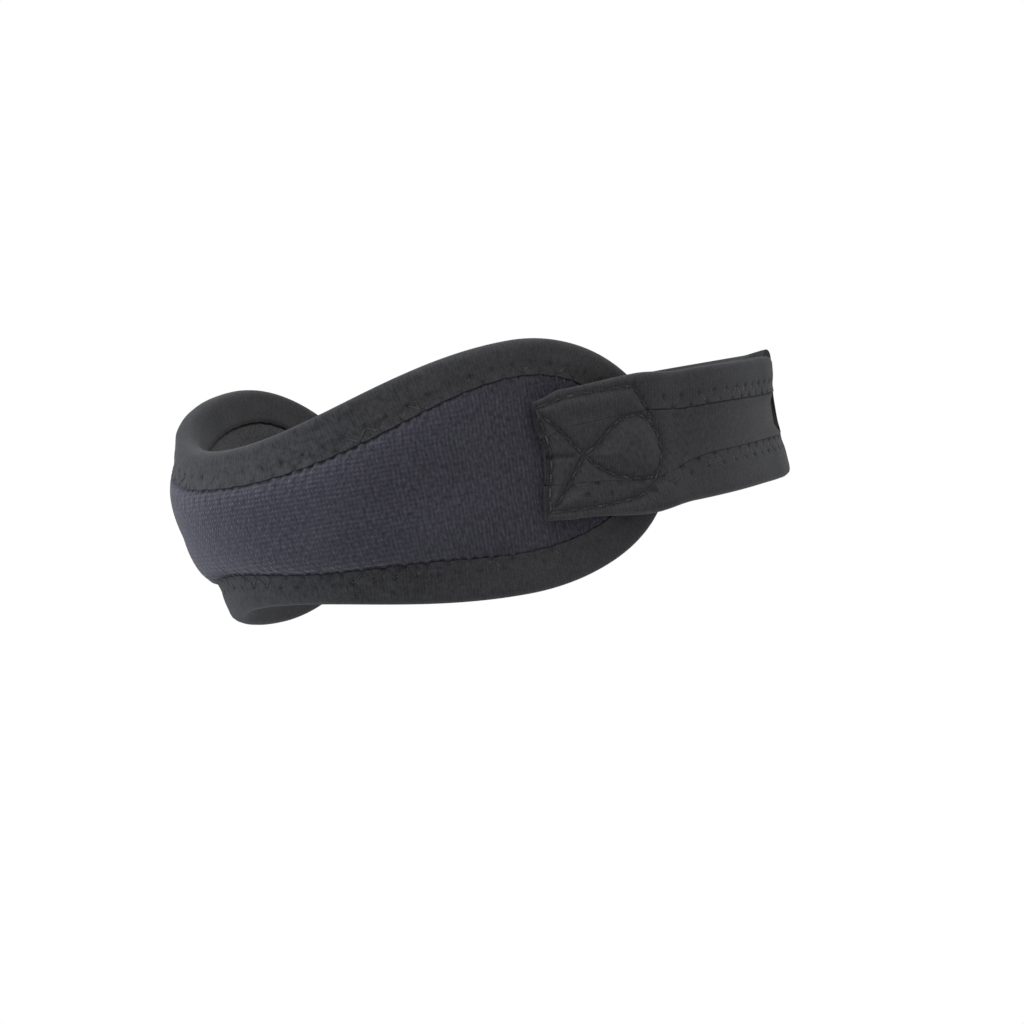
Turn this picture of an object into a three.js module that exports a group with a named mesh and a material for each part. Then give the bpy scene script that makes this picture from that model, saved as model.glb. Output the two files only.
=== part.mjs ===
// A patella strap: a padded front and two bound straps that lap at the back, closed in a loop as worn.
// Millimetres. +Z is up, -Y is the front and +X is the wearer's left.
// The origin is on the loop's axis, at the middle of the strap.
import * as THREE from "three";

const { lerp, clamp, smoothstep, euclideanModulo } = THREE.MathUtils;

// The oval inside the loop, and how far its front leans out for each mm of height.
const OVAL_HALF_WIDTH = 50;
const OVAL_FRONT_DEPTH = 56;
const OVAL_BACK_DEPTH = 54;
const OVAL_FRONT_LEAN = 0.12;

// The tape that binds every edge, and the gap that is kept between sewn pieces.
const TAPE = 1.0;
const GAP = 0.3;

// The outline of the bound pad, laid flat: a waist in front between two round lobes.
const WAIST_TOP = 12.5;
const WAIST_BOTTOM = -18.7;
const LOBE_TOP = 23.6;
const LOBE_BOTTOM = -24;
const LOBE_TOP_ALONG = 59.5;
const LOBE_BOTTOM_ALONG = 56;
const LOBE_TOP_REACH = 25.3;
const LOBE_BOTTOM_REACH = 35;
const TOP_RISE = 1.05;

// How much of the pad the tape covers along its upper and lower edges, which varies as it was fed by hand.
const TOP_FACE_LOBE = 6.9;
const TOP_FACES = [
  { along: -LOBE_TOP_ALONG, face: TOP_FACE_LOBE },
  { along: -6, face: 6.9 },
  { along: 28, face: 8.6 },
  { along: LOBE_TOP_ALONG, face: TOP_FACE_LOBE },
];
const BOTTOM_FACE_LOBE = 7.8;
const BOTTOM_FACES = [
  { along: -LOBE_BOTTOM_ALONG, face: BOTTOM_FACE_LOBE },
  { along: -14, face: 7.4 },
  { along: 13, face: 6 },
  { along: 42, face: 8.1 },
  { along: LOBE_BOTTOM_ALONG, face: BOTTOM_FACE_LOBE },
];

// The pad's foam: thin where the tape holds it, more so below, full inside the seam, with a low bulge
// in front that lifts the seam above the waist.
const TOP_FOAM_EDGE = 1.8;
const BOTTOM_FOAM_EDGE = 1;
const SEAM_LEVEL = 4.4;
const WAIST_LIFT = 2.6;
const PAD_INNER_LEVEL = 0.2;
const SEAM_WIDTH = 0.5;
const BULGE = 4.2;
const BULGE_FLAT = 18;
const BULGE_END = 70;
const CREST_SHARE = 0.45;
const CREST_END = 56;
const LIFT_FADE = 1.1;
const FLUSH_DROP = 0.2;

// The two straps laid flat, each from its sewn end on a lobe to its end at the back.
// The right strap laps over the end of the left one there, so it stands further off the oval.
const STRAP_ON_PAD = [
  { along: 60.5, top: 11.5, bottom: -11, standOff: 4.7 },
  { along: 66, top: 12.9, bottom: -11.6, standOff: 4.7 },
  { along: 80, top: 13.4, bottom: -13.2, standOff: 4.7 },
  { along: 89, top: 12.5, bottom: -12.4, standOff: 4.7 },
];
const LEFT_STRAP = [
  ...STRAP_ON_PAD,
  { along: 120, top: 12, bottom: -12.2, standOff: 1.1 },
  { along: 138, top: 12, bottom: -12.2, standOff: 1.1 },
  { along: 149, top: 12, bottom: -12.2, standOff: 0.2 },
  { along: 176, top: 12, bottom: -12.2, standOff: 0.2 },
];
const RIGHT_STRAP = [
  ...STRAP_ON_PAD,
  { along: 120, top: 12, bottom: -12.2, standOff: 0.2 },
  { along: 151, top: 12.6, bottom: -12.4, standOff: 4.5 },
  { along: 171, top: 12.6, bottom: -12.4, standOff: 4.5 },
  { along: 180, top: 13.1, bottom: -12.3, standOff: 4.5 },
];

// The strap's panel is thin under the tape along both edges, and full in the channel between them.
const STRAP_TOP_FACE = 7.2;
const STRAP_BOTTOM_FACE = 8.4;
const STRAP_EDGE = 1.2;
const STRAP_INNER_LEVEL = 0.4;
const STRAP_OUTER_LEVEL = 2.6;
const STRAP_CURL = 0.8;

// The hook-and-loop patch that closes the lap, between the two straps.
const PATCH_START = 147;
const PATCH_END = 175;
const PATCH_HEIGHT = 7;
const PATCH_THICK = 1.2;

// How finely the shapes are divided.
const WAIST_STEPS = 26;
const LOBE_END_STEPS = 20;
const STRAP_STEP = 4;

// Half of the oval, from the front centre round the wearer's left side to the back centre.
const halfSection = new THREE.CurvePath();
halfSection.add(new THREE.EllipseCurve(0, 0, OVAL_HALF_WIDTH, OVAL_FRONT_DEPTH, -Math.PI / 2, 0));
halfSection.add(new THREE.EllipseCurve(0, 0, OVAL_HALF_WIDTH, OVAL_BACK_DEPTH, 0, Math.PI / 2));
const HALF_GIRTH = halfSection.getLength();

// The point at a length along the girth from the front centre, at a height, out from the oval.
function onOval(along, up, out) {
  const wrapped = euclideanModulo(along + HALF_GIRTH, 2 * HALF_GIRTH) - HALF_GIRTH;
  const side = wrapped < 0 ? -1 : 1;
  const share = Math.abs(wrapped) / HALF_GIRTH;
  const foot = halfSection.getPoint(share);
  const ahead = halfSection.getTangent(share);
  const lean = OVAL_FRONT_LEAN * up * (1 + Math.cos(Math.PI * share)) / 2;
  const reach = out + lean;
  return new THREE.Vector3(side * (foot.x + reach * ahead.y), foot.y - reach * ahead.x, up);
}

// A closed mesh from rings of points that run on from each other, with flat ends unless it is a loop.
function loft(rings, isLoop, endOutline) {
  const count = rings[0].length;
  const triangles = [];
  const last = isLoop ? rings.length : rings.length - 1;
  for (let ring = 0; ring < last; ring += 1) {
    const here = rings[ring];
    const next = rings[(ring + 1) % rings.length];
    for (let point = 0; point < count; point += 1) {
      const after = (point + 1) % count;
      triangles.push([here[point], here[after], next[after]]);
      triangles.push([here[point], next[after], next[point]]);
    }
  }
  if (!isLoop) {
    for (const corners of THREE.ShapeUtils.triangulateShape(endOutline, [])) {
      const turn = THREE.ShapeUtils.area(corners.map((corner) => endOutline[corner]));
      const [a, b, c] = turn > 0 ? corners : corners.slice().reverse();
      const first = rings[0];
      const end = rings[rings.length - 1];
      triangles.push([first[a], first[c], first[b]]);
      triangles.push([end[a], end[b], end[c]]);
    }
  }
  return meshGeometry(triangles);
}

// An indexed geometry from triangles of points: equal points are shared and collapsed triangles dropped.
function meshGeometry(triangles) {
  const indexOf = new Map();
  const positions = [];
  const indices = [];
  const indexFor = (point) => {
    const key = point.toArray().map((value) => Math.round(value * 10000)).join(" ");
    if (!indexOf.has(key)) {
      indexOf.set(key, indexOf.size);
      positions.push(...point.toArray());
    }
    return indexOf.get(key);
  };
  for (const triangle of triangles) {
    const [a, b, c] = triangle.map(indexFor);
    if (a !== b && b !== c && c !== a) {
      indices.push(a, b, c);
    }
  }
  const geometry = new THREE.BufferGeometry();
  geometry.setAttribute("position", new THREE.Float32BufferAttribute(positions, 3));
  geometry.setIndex(indices);
  geometry.computeVertexNormals();
  return geometry;
}

// The section of a tape folded over an edge: inset from the fold, and out from its inner face. Its outer
// side rises from the fold's thickness to the level of its seam.
function foldedTape(face, thickness, seamLevel) {
  const fold = TAPE + GAP;
  const middle = thickness / 2;
  return [
    [face, 0],
    [face, TAPE],
    [fold, TAPE],
    [TAPE, middle],
    [fold, thickness - TAPE],
    [face, seamLevel - TAPE],
    [face, seamLevel],
    [fold, thickness],
    [0.3 * TAPE, thickness - 0.6 * TAPE],
    [0, middle],
    [0.3 * TAPE, 0.6 * TAPE],
    [fold, 0],
  ].map(([inset, out]) => new THREE.Vector2(inset, out));
}

// The rows on either side of a length along the girth, and how far it lies between them, eased.
function rowsAround(rows, along) {
  const after = rows.find((row) => row.along >= along);
  const before = rows[Math.max(rows.indexOf(after) - 1, 0)];
  return [before, after, smoothstep(along, before.along, after.along)];
}

// The tape's face at a length along the girth.
function faceAt(faces, along) {
  const [before, after, share] = rowsAround(faces, along);
  return lerp(before.face, after.face, share);
}

// How far a place is from the waist to the lobe, from 0 to 1.
function lobeShare(along, lobeAlong, rise) {
  return (1 - Math.cos(Math.PI * clamp(Math.abs(along) / lobeAlong, 0, 1) ** rise)) / 2;
}

// How much of the bulge in front is left at a length along the girth.
function bulgeFade(along) {
  return 1 - smoothstep(Math.abs(along), BULGE_FLAT, BULGE_END);
}

// The pad's upper or lower edge between its lobes: its height, and its tape's face, foam and seam there.
function topEdge(along) {
  const share = lobeShare(along, LOBE_TOP_ALONG, TOP_RISE);
  const up = lerp(WAIST_TOP, LOBE_TOP, share);
  const seamLevel = SEAM_LEVEL + WAIST_LIFT * bulgeFade(along);
  return { up, face: faceAt(TOP_FACES, along), foamEdge: TOP_FOAM_EDGE, seamLevel };
}

function bottomEdge(along) {
  const share = lobeShare(along, LOBE_BOTTOM_ALONG, 1);
  const up = lerp(WAIST_BOTTOM, LOBE_BOTTOM, share);
  return { up, face: faceAt(BOTTOM_FACES, along), foamEdge: BOTTOM_FOAM_EDGE, seamLevel: SEAM_LEVEL };
}

// Stations round the bound edge of the pad, anticlockwise from outside, each with its tape's sizes and
// the length along the crest that it faces.
function padStations() {
  const stations = [];
  const addEdge = (share, isTop) => {
    const along = share * (isTop ? LOBE_TOP_ALONG : LOBE_BOTTOM_ALONG);
    const { up, ...sizes } = isTop ? topEdge(along) : bottomEdge(along);
    stations.push({ at: new THREE.Vector2(along, up), ...sizes, crest: share * CREST_END, isTop });
  };
  const addLobeEnd = (side, step) => {
    const turn = lerp(-Math.PI / 2, Math.PI / 2, step / LOBE_END_STEPS) * side;
    const height = turn > 0 ? LOBE_TOP : -LOBE_BOTTOM;
    const share = (1 + Math.sin(turn)) / 2;
    const reach = lerp(LOBE_BOTTOM_REACH, LOBE_TOP_REACH, share);
    const along = side * (lerp(LOBE_BOTTOM_ALONG, LOBE_TOP_ALONG, share) + reach * Math.cos(turn));
    const face = lerp(BOTTOM_FACE_LOBE, TOP_FACE_LOBE, share);
    const foamEdge = lerp(BOTTOM_FOAM_EDGE, TOP_FOAM_EDGE, share);
    const seamLevel = SEAM_LEVEL + WAIST_LIFT * bulgeFade(along) * share;
    const at = new THREE.Vector2(along, height * Math.sin(turn));
    stations.push({ at, face, foamEdge, seamLevel, crest: side * CREST_END, isTop: turn > 0 });
  };
  for (let step = 0; step < WAIST_STEPS; step += 1) {
    addEdge(lerp(-1, 1, step / WAIST_STEPS), false);
  }
  for (let step = 0; step < LOBE_END_STEPS; step += 1) {
    addLobeEnd(1, step);
  }
  for (let step = 0; step < WAIST_STEPS; step += 1) {
    addEdge(lerp(1, -1, step / WAIST_STEPS), true);
  }
  for (let step = 0; step < LOBE_END_STEPS; step += 1) {
    addLobeEnd(-1, step);
  }
  stations.forEach((station, index) => {
    const before = stations[(index + stations.length - 1) % stations.length];
    const after = stations[(index + 1) % stations.length];
    const travel = after.at.clone().sub(before.at).normalize();
    station.inward = new THREE.Vector2(-travel.y, travel.x);
  });
  return stations;
}

// The tape round the pad, a folded section swept round its outline.
function padBinding() {
  const rings = padStations().map((station) => {
    const thickness = 2 * TAPE + 2 * GAP + station.foamEdge;
    return foldedTape(station.face, thickness, station.seamLevel).map((corner) => {
      const flat = station.at.clone().addScaledVector(station.inward, corner.x);
      return onOval(flat.x, flat.y, corner.y);
    });
  });
  return loft(rings, true);
}

// The line along the pad where its bulge is fullest.
function crestPoint(along) {
  const low = bottomEdge(along);
  const high = topEdge(along);
  return new THREE.Vector2(along, lerp(low.up + low.face, high.up - high.face, CREST_SHARE));
}

// How far the pad bulges at a share of the way from its seam to the crest: steep below, gentle above.
function bulgeAt(along, share, isTop) {
  const rise = 1 - (1 - share) ** 2;
  return BULGE * bulgeFade(along) * (isTop ? rise ** 0.75 : rise ** 0.5);
}

// The pad: rows run from the crest of its outer face to the edge, and back along its inner face.
function frontPad() {
  const stations = padStations();
  const underTape = TAPE + GAP;
  const flush = SEAM_LEVEL - FLUSH_DROP;
  const fullRow = (share, isOuter) => (station) => ({ inset: station.face + SEAM_WIDTH, share, isOuter });
  const rows = [
    ...[1, 0.8, 0.55, 0.3, 0.12, 0].map((share) => fullRow(share, true)),
    (station) => ({ inset: station.face, out: station.seamLevel - underTape }),
    (station) => ({ inset: underTape, out: underTape + station.foamEdge }),
    () => ({ inset: underTape, out: underTape }),
    (station) => ({ inset: station.face, out: underTape }),
    ...[0, 0.5, 1].map((share) => fullRow(share, false)),
  ];
  const points = rows.map((row) => stations.map((station) => {
    const { inset, out, share, isOuter } = row(station);
    const flat = station.at.clone().addScaledVector(station.inward, inset);
    if (share === undefined) {
      return onOval(flat.x, flat.y, out);
    }
    const lift = (station.seamLevel - SEAM_LEVEL) * (1 - share) ** LIFT_FADE;
    const along = lerp(station.at.x, station.crest, share);
    const outer = flush + lift + bulgeAt(along, share, station.isTop);
    flat.lerp(crestPoint(station.crest), share);
    return onOval(flat.x, flat.y, isOuter ? outer : PAD_INNER_LEVEL);
  }));
  const triangles = [];
  for (let row = 0; row < points.length - 1; row += 1) {
    stations.forEach((station, index) => {
      const after = (index + 1) % stations.length;
      const inner = points[row];
      const outer = points[row + 1];
      triangles.push([inner[index], outer[index], outer[after]]);
      triangles.push([inner[index], outer[after], inner[after]]);
    });
  }
  return meshGeometry(triangles);
}

// A strap's row at a length along it, eased between the rows on either side.
function strapRow(strap, along) {
  const [before, after, share] = rowsAround(strap, along);
  const top = lerp(before.top, after.top, share);
  const bottom = lerp(before.bottom, after.bottom, share);
  return { top, bottom, standOff: lerp(before.standOff, after.standOff, share) };
}

// A piece that runs along a strap, from its section at each length; side -1 takes it round the right.
// The strap's edges curl outwards a little.
function alongStrap(strap, side, start, end, section) {
  const steps = Math.ceil((end - start) / STRAP_STEP);
  const rings = [];
  for (let step = 0; step <= steps; step += 1) {
    const along = lerp(start, end, step / steps);
    const row = strapRow(strap, along);
    const half = (row.top - row.bottom) / 2;
    const middle = (row.top + row.bottom) / 2;
    const ring = section(row).map((corner) => {
      const curl = STRAP_CURL * ((corner.x - middle) / half) ** 2;
      return onOval(side * along, corner.x, row.standOff + curl + corner.y);
    });
    rings.push(ring);
  }
  return loft(side < 0 ? rings.reverse() : rings, false, section(strapRow(strap, start)));
}

const STRAP_THICK = 2 * TAPE + 2 * GAP + STRAP_EDGE;

function strapSection({ top, bottom }) {
  const under = TAPE + GAP;
  const over = under + STRAP_EDGE;
  const lowSeam = bottom + STRAP_BOTTOM_FACE;
  const highSeam = top - STRAP_TOP_FACE;
  return [
    [bottom + under, under],
    [lowSeam, under],
    [lowSeam + SEAM_WIDTH, STRAP_INNER_LEVEL],
    [highSeam - SEAM_WIDTH, STRAP_INNER_LEVEL],
    [highSeam, under],
    [top - under, under],
    [top - under, over],
    [highSeam, over],
    [highSeam - SEAM_WIDTH, STRAP_OUTER_LEVEL],
    [lowSeam + SEAM_WIDTH, STRAP_OUTER_LEVEL],
    [lowSeam, over],
    [bottom + under, over],
  ].map(([up, out]) => new THREE.Vector2(up, out));
}

function topTapeSection({ top }) {
  const section = foldedTape(STRAP_TOP_FACE, STRAP_THICK, STRAP_THICK);
  return section.map((corner) => new THREE.Vector2(top - corner.x, corner.y)).reverse();
}

function bottomTapeSection({ bottom }) {
  const section = foldedTape(STRAP_BOTTOM_FACE, STRAP_THICK, STRAP_THICK);
  return section.map((corner) => new THREE.Vector2(bottom + corner.x, corner.y));
}

// The patch lies in the channel of the left strap.
function patchSection({ top, bottom }) {
  const middle = (top - STRAP_TOP_FACE + bottom + STRAP_BOTTOM_FACE) / 2;
  const low = STRAP_OUTER_LEVEL + GAP;
  const high = low + PATCH_THICK;
  return [
    [middle - PATCH_HEIGHT / 2, low],
    [middle + PATCH_HEIGHT / 2, low],
    [middle + PATCH_HEIGHT / 2, high],
    [middle - PATCH_HEIGHT / 2, high],
  ].map(([up, out]) => new THREE.Vector2(up, out));
}

function cloth(color, roughness) {
  return new THREE.MeshStandardMaterial({ color, roughness, metalness: 0 });
}

const support = new THREE.Group();

function addPiece(name, geometry, material) {
  const mesh = new THREE.Mesh(geometry, material);
  mesh.name = name;
  support.add(mesh);
}

addPiece("front_pad", frontPad(), cloth(0x45454f, 0.9));
addPiece("pad_binding", padBinding(), cloth(0x363638, 0.85));
for (const [name, side, strap] of [["left", 1, LEFT_STRAP], ["right", -1, RIGHT_STRAP]]) {
  const addRun = (piece, section, material) => {
    addPiece(name + piece, alongStrap(strap, side, strap[0].along, strap.at(-1).along, section), material);
  };
  addRun("_strap", strapSection, cloth(0x3a3a3c, 0.8));
  addRun("_strap_top_binding", topTapeSection, cloth(0x363638, 0.85));
  addRun("_strap_bottom_binding", bottomTapeSection, cloth(0x363638, 0.85));
}
const patch = alongStrap(LEFT_STRAP, 1, PATCH_START, PATCH_END, patchSection);
addPiece("closure_patch", patch, cloth(0x2a2a2c, 0.95));

export default support;
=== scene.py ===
"""A patella strap in cloth: a knitted pad, ribbed tape, sewn straps and thread, in a white studio."""

import math
from types import SimpleNamespace

import bmesh
import bpy
import numpy as np
from mathutils import Matrix, Vector, noise


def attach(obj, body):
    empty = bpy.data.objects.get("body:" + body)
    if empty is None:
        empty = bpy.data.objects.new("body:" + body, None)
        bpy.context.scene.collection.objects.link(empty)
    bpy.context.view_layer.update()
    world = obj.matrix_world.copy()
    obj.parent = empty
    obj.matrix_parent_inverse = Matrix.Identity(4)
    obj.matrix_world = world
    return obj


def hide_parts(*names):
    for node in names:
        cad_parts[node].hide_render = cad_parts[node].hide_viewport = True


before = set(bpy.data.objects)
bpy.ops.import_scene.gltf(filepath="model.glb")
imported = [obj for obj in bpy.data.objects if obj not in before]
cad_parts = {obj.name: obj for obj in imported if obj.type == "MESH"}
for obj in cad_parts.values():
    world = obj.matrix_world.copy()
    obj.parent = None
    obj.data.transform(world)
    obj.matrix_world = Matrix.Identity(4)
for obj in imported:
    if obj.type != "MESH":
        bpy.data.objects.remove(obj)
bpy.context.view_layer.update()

# Sizes in millimetres, as in the part's source. Lengths run along the girth from the front centre, and outs
# run from the oval inside the loop.
MM = 0.001
OVAL_HALF_WIDTH = 50
OVAL_FRONT_DEPTH = 56
OVAL_BACK_DEPTH = 54
OVAL_FRONT_LEAN = 0.12

# The tape that binds every edge, and the pad: its outline laid flat, its foam and its bulge.
TAPE = 1.0
GAP = 0.3
WAIST_TOP = 12.5
WAIST_BOTTOM = -18.7
LOBE_TOP = 23.6
LOBE_BOTTOM = -24
LOBE_TOP_ALONG = 59.5
LOBE_BOTTOM_ALONG = 56
LOBE_TOP_REACH = 25.3
LOBE_BOTTOM_REACH = 35
TOP_RISE = 1.05
TOP_FACE_LOBE = 6.9
BOTTOM_FACE_LOBE = 7.8
TOP_FOAM_EDGE = 1.8
BOTTOM_FOAM_EDGE = 1
SEAM_LEVEL = 4.4
WAIST_LIFT = 2.6
LIFT_FADE = 1.1
FLUSH_DROP = 0.2
PAD_INNER_LEVEL = 0.2
SEAM_WIDTH = 0.5
BULGE = 4.2
BULGE_FLAT = 18
BULGE_END = 70
CREST_SHARE = 0.45
CREST_END = 70

# The pad's cloth: its stretch in front, the puckers along its seam, its sags as depths, sizes and seeds, and
# the roll of its edge into the seam as insets and drops.
STRETCH = 0.1
PUCKER = 0.24
PUCKER_REACH = 1.7
SAGS = [(0.10, 9, 1.5), (0.05, 4, 7.5)]
EDGE_ROLL = [(0.22, 0.06), (0.12, 0.2), (0.06, 0.45)]
OUTER_SHARES = np.linspace(1, 0, 34) ** 1.5
INNER_SHARES = np.linspace(0, 1, 8)

# The pad tape's face at lengths along its upper and lower edges.
TOP_FACES = [(-LOBE_TOP_ALONG, TOP_FACE_LOBE), (-6, 6.9), (28, 8.6), (LOBE_TOP_ALONG, TOP_FACE_LOBE)]
BOTTOM_FACES = [(-LOBE_BOTTOM_ALONG, BOTTOM_FACE_LOBE), (-14, 7.4), (13, 6), (42, 8.1),
                (LOBE_BOTTOM_ALONG, BOTTOM_FACE_LOBE)]

# Each strap's rows: along, top, bottom, stand-off from the oval.
STRAP_ON_PAD = [
    (60.5, 11.5, -11, 4.7), (66, 12.9, -11.6, 4.7), (80, 13.4, -13.2, 4.7), (89, 12.5, -12.4, 4.7),
]
STRAPS = {
    "left": [*STRAP_ON_PAD, (120, 12, -12.2, 1.1), (138, 12, -12.2, 1.1), (149, 12, -12.2, 0.2),
             (176, 12, -12.2, 0.2)],
    "right": [*STRAP_ON_PAD, (120, 12, -12.2, 0.2), (151, 12.6, -12.4, 4.5), (171, 12.6, -12.4, 4.5),
              (180, 13.1, -12.3, 4.5)],
}
STRAP_START = STRAP_ON_PAD[0][0]
STRAP_ENDS = {strap: rows[-1][0] for strap, rows in STRAPS.items()}
SIDES = {"left": 1, "right": -1}
STRAP_TOP_FACE = 7.2
STRAP_BOTTOM_FACE = 8.4
STRAP_EDGE = 1.2
STRAP_INNER_LEVEL = 0.4
STRAP_OUTER_LEVEL = 2.6
STRAP_PANEL_LEVEL = 3.4
LAP_END_LEVEL = 3.3
STRAP_CURL = 0.8
STRAP_THICK = 2 * TAPE + 2 * GAP + STRAP_EDGE
PATCH_START = 147
PATCH_END = 175
PATCH_HEIGHT = 7
PATCH_THICK = 1.2
PATCH_NAP = 0.08

# Where a strap's forms change along it: its lower tape widens, its quilting fades, its panel opens out
# between the tapes, slopes down on the left strap, and is pressed flat there for the patch.
LOWER_FACE_WIDENS = (80, 94)
LOWER_FACE_NARROWING = 1.9
QUILTING_FADES = (83.0, 86.5)
FINE_END = 86
PANEL_OPENS = (79, 92)
PANEL_SLOPES = (114, 130)
PATCH_PRESSES = (137, 145)
SLOPE_SHARE = 0.7
PRESS_SHARE = 0.3
PANEL_GROOVE = 0.22
PANEL_WAVE = 0.05
PANEL_REACH = 5
SEAM_CLEAR = 0.02
SEWN_END_CLEAR = 0.05

# A strap's ends: the share of its thickness that is left at the sewn end and at the far one, and the sewn
# end's outline, which is drawn in most a little above the middle and rounded at its upper corner.
SEWN_END_SHARE = 0.5
SEWN_END_SWELLS = (59, 74)
FAR_END_SHARE = 0.42
FAR_END_LENGTH = 6
DRAWN_IN = 1.95
DRAWN_UP = 1.2
DRAWN_HEIGHT = 7.2
DRAWN_BACK = 0.4
DRAWN_LENGTH = 7
UPPER_CORNER = (10, 12.5)
END_ROLL = 0.45
# Painted shade at the sewn end.
END_PAINTED_SHADE = 0.7
END_EDGE = 0.5

# The sewing: the tape's ribs, the zigzag along each tape, and the thread.
RIB_PITCH = 0.65
TAPE_STEP = 0.21
ZIGZAG_PITCH = 4.1
ZIGZAG_HALF = 0.95
ZIGZAG_INSET = 1.35
THREAD_RADIUS = 0.15
THREAD_SINK = 0.2
HOLE_SIZE = 0.5
HOLE_DEPTH = 0.3
# Painted shade in each needle hole.
HOLE_PAINTED_SHADE = 0.65
SCALLOP = 0.05
TOP_ZIGZAG_START = 82.5
BOTTOM_ZIGZAG_START = 64.5
BOX_STITCH = 2.4
BOX_THREAD_RADIUS = 0.2
BOX_THREAD_LIFT = 0.16
ZIGZAG_END = 4
FAR_END_ROWS = (2.2, 4.6)
FAR_ROW_TOP = 12.2
FAR_ROW_BOTTOM = -11.4

# A tape's soft section, its nap and wear, where it is darker along the pad, and the painted shade on the
# straps' upper folds and deepening along the straps.
TAPE_CROWN = 0.14
TAPE_DRAW = 0.20
TAPE_DRAW_WIDTH = 1.2
NAP_SIZE = 0.7
NAP_DEPTH = 0.05
NAP_SHADE = 0.5
FOLD_WEAR_AND_SHADE_WIDTH = 1.3
FOLD_WEAR_AND_SHADE_FROM = 0.3
PAD_WEAR = 0.12
PAD_DEEP = 0.3
PAD_DEEP_ALONG = 33
PAD_DEEP_WIDTH = 16
STRAP_WEAR = 0.08
# Painted shade on a strap's upper fold, deeper past the box.
TOP_FOLD_PAINTED_SHADES = (0.2, 0.5)
TOP_FOLD_PAINTED_SHADE_GROWS = (80, 95)
# Painted shade on the straps' tapes, deepening towards their far parts.
STRAP_PAINTED_SHADE = 0.35
STRAP_PAINTED_SHADE_DEEPENS = (98, 124)

# The box and cross sewn through each strap's end, as lines of (along, up). The cross's right arms swell
# out round a dome.
CROSS = (68.4, 0.0)
DOME = [CROSS, (70.9, 1.6), (73.4, 4.0), (75.8, 5.5), (78.9, 5.8), (81.1, 4.3), (82.4, 1.4), (82.8, -2.1),
        (81.9, -5.0), (80.2, -6.5), (76.8, -6.1), (73.7, -5.1), (71.4, -3.6), (69.8, -2.0), CROSS]
BOX_LINES = [
    DOME,
    [(62.0, 8.6), CROSS],
    [(62.4, -8.6), CROSS],
    [(61.4, 10.2), (66, 11.3), (72, 11.4), (78.4, 11.2), (80.4, 7.6), (81.6, 4.0)],
    [(81.6, -5.4), (79.6, -8.4), (76.5, -9.7), (70, -10.0), (61.4, -9.6)],
    [(61.4, 10.2), (61.4, -9.6)],
]
CREASE = [(60.5, 0.8), (66.6, 0.1)]

# How far the sewn end swells inside its dome and between its other lines, how softly, how far its lines and
# its crease sink, and how deep the painted shade along them is.
DOME_SWELL = 1.5
DOME_SOFTNESS = 2.2
QUILT_SWELL = 0.6
QUILT_SOFTNESS = 1.3
LINE_SINK = 0.4
LINE_WIDTH = 0.5
LINE_PAINTED_SHADE = 0.25
LINE_PAINTED_SHADE_WIDTH = 0.55
CREASE_SINK = 0.45
CREASE_WIDTH = 0.55
CREASE_PAINTED_SHADE = 0.35
CREASE_PAINTED_SHADE_WIDTH = 0.5


def lerp(low, high, share):
    return low + (high - low) * share


def smoothstep(value, low, high):
    share = np.clip((value - low) / (high - low), 0, 1)
    return share * share * (3 - 2 * share)


def hump(offset, width):
    """A smooth hump: 1 at no offset, and fading over about a width."""
    return np.exp(-((offset / width) ** 2))


def eased(rows, along):
    """The columns of rows that start with a length along the girth, eased between rows."""
    rows = np.array(rows, dtype=float)
    after = np.clip(np.searchsorted(rows[:, 0], along), 1, len(rows) - 1)
    share = smoothstep(along, rows[after - 1, 0], rows[after, 0])
    return [lerp(rows[after - 1, column], rows[after, column], share) for column in range(1, rows.shape[1])]


def unit(vectors):
    return vectors / np.linalg.norm(vectors, axis=1, keepdims=True)


def path_lengths(points):
    """The length of a path at each of its points."""
    return np.concatenate([[0], np.cumsum(np.linalg.norm(np.diff(points, axis=0), axis=1))])


# Half of the oval as turns from the front, with the girth from the front centre to each.
TURNS = np.linspace(0, math.pi, 20001)
DEPTHS = np.where(np.cos(TURNS) > 0, OVAL_FRONT_DEPTH, OVAL_BACK_DEPTH)
STEPS = np.hypot(np.diff(OVAL_HALF_WIDTH * np.sin(TURNS)), np.diff(DEPTHS * np.cos(TURNS)))
GIRTHS = np.concatenate([[0], np.cumsum(STEPS)])
HALF_GIRTH = GIRTHS[-1]


def on_oval(along, up, out):
    """Points at lengths along the girth, at heights, out from the oval."""
    along, up, out = np.broadcast_arrays(along, up, out)
    wrapped = (along + HALF_GIRTH) % (2 * HALF_GIRTH) - HALF_GIRTH
    side = np.where(wrapped < 0, -1, 1)
    turn = np.interp(np.abs(wrapped), GIRTHS, TURNS)
    depth = np.where(np.cos(turn) > 0, OVAL_FRONT_DEPTH, OVAL_BACK_DEPTH)
    ahead_x = OVAL_HALF_WIDTH * np.cos(turn)
    ahead_y = depth * np.sin(turn)
    size = np.hypot(ahead_x, ahead_y)
    reach = out + OVAL_FRONT_LEAN * up * (1 + np.cos(np.pi * np.abs(wrapped) / HALF_GIRTH)) / 2
    x = side * (OVAL_HALF_WIDTH * np.sin(turn) + reach * ahead_y / size)
    y = -depth * np.cos(turn) - reach * ahead_x / size
    return np.stack([x, y, up], axis=-1)


def soft_noise(along, up, size, seed):
    """Smooth noise from -1 to 1 over the flat cloth, with bumps of about the given size."""
    along, up = np.broadcast_arrays(along, up)
    flat = zip(np.ravel(along), np.ravel(up))
    values = [noise.noise(Vector((a / size, u / size, seed))) for a, u in flat]
    return np.reshape(values, along.shape)


def add_object(name, data):
    made = bpy.data.objects.new(name, data)
    bpy.context.scene.collection.objects.link(made)
    return made


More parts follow.
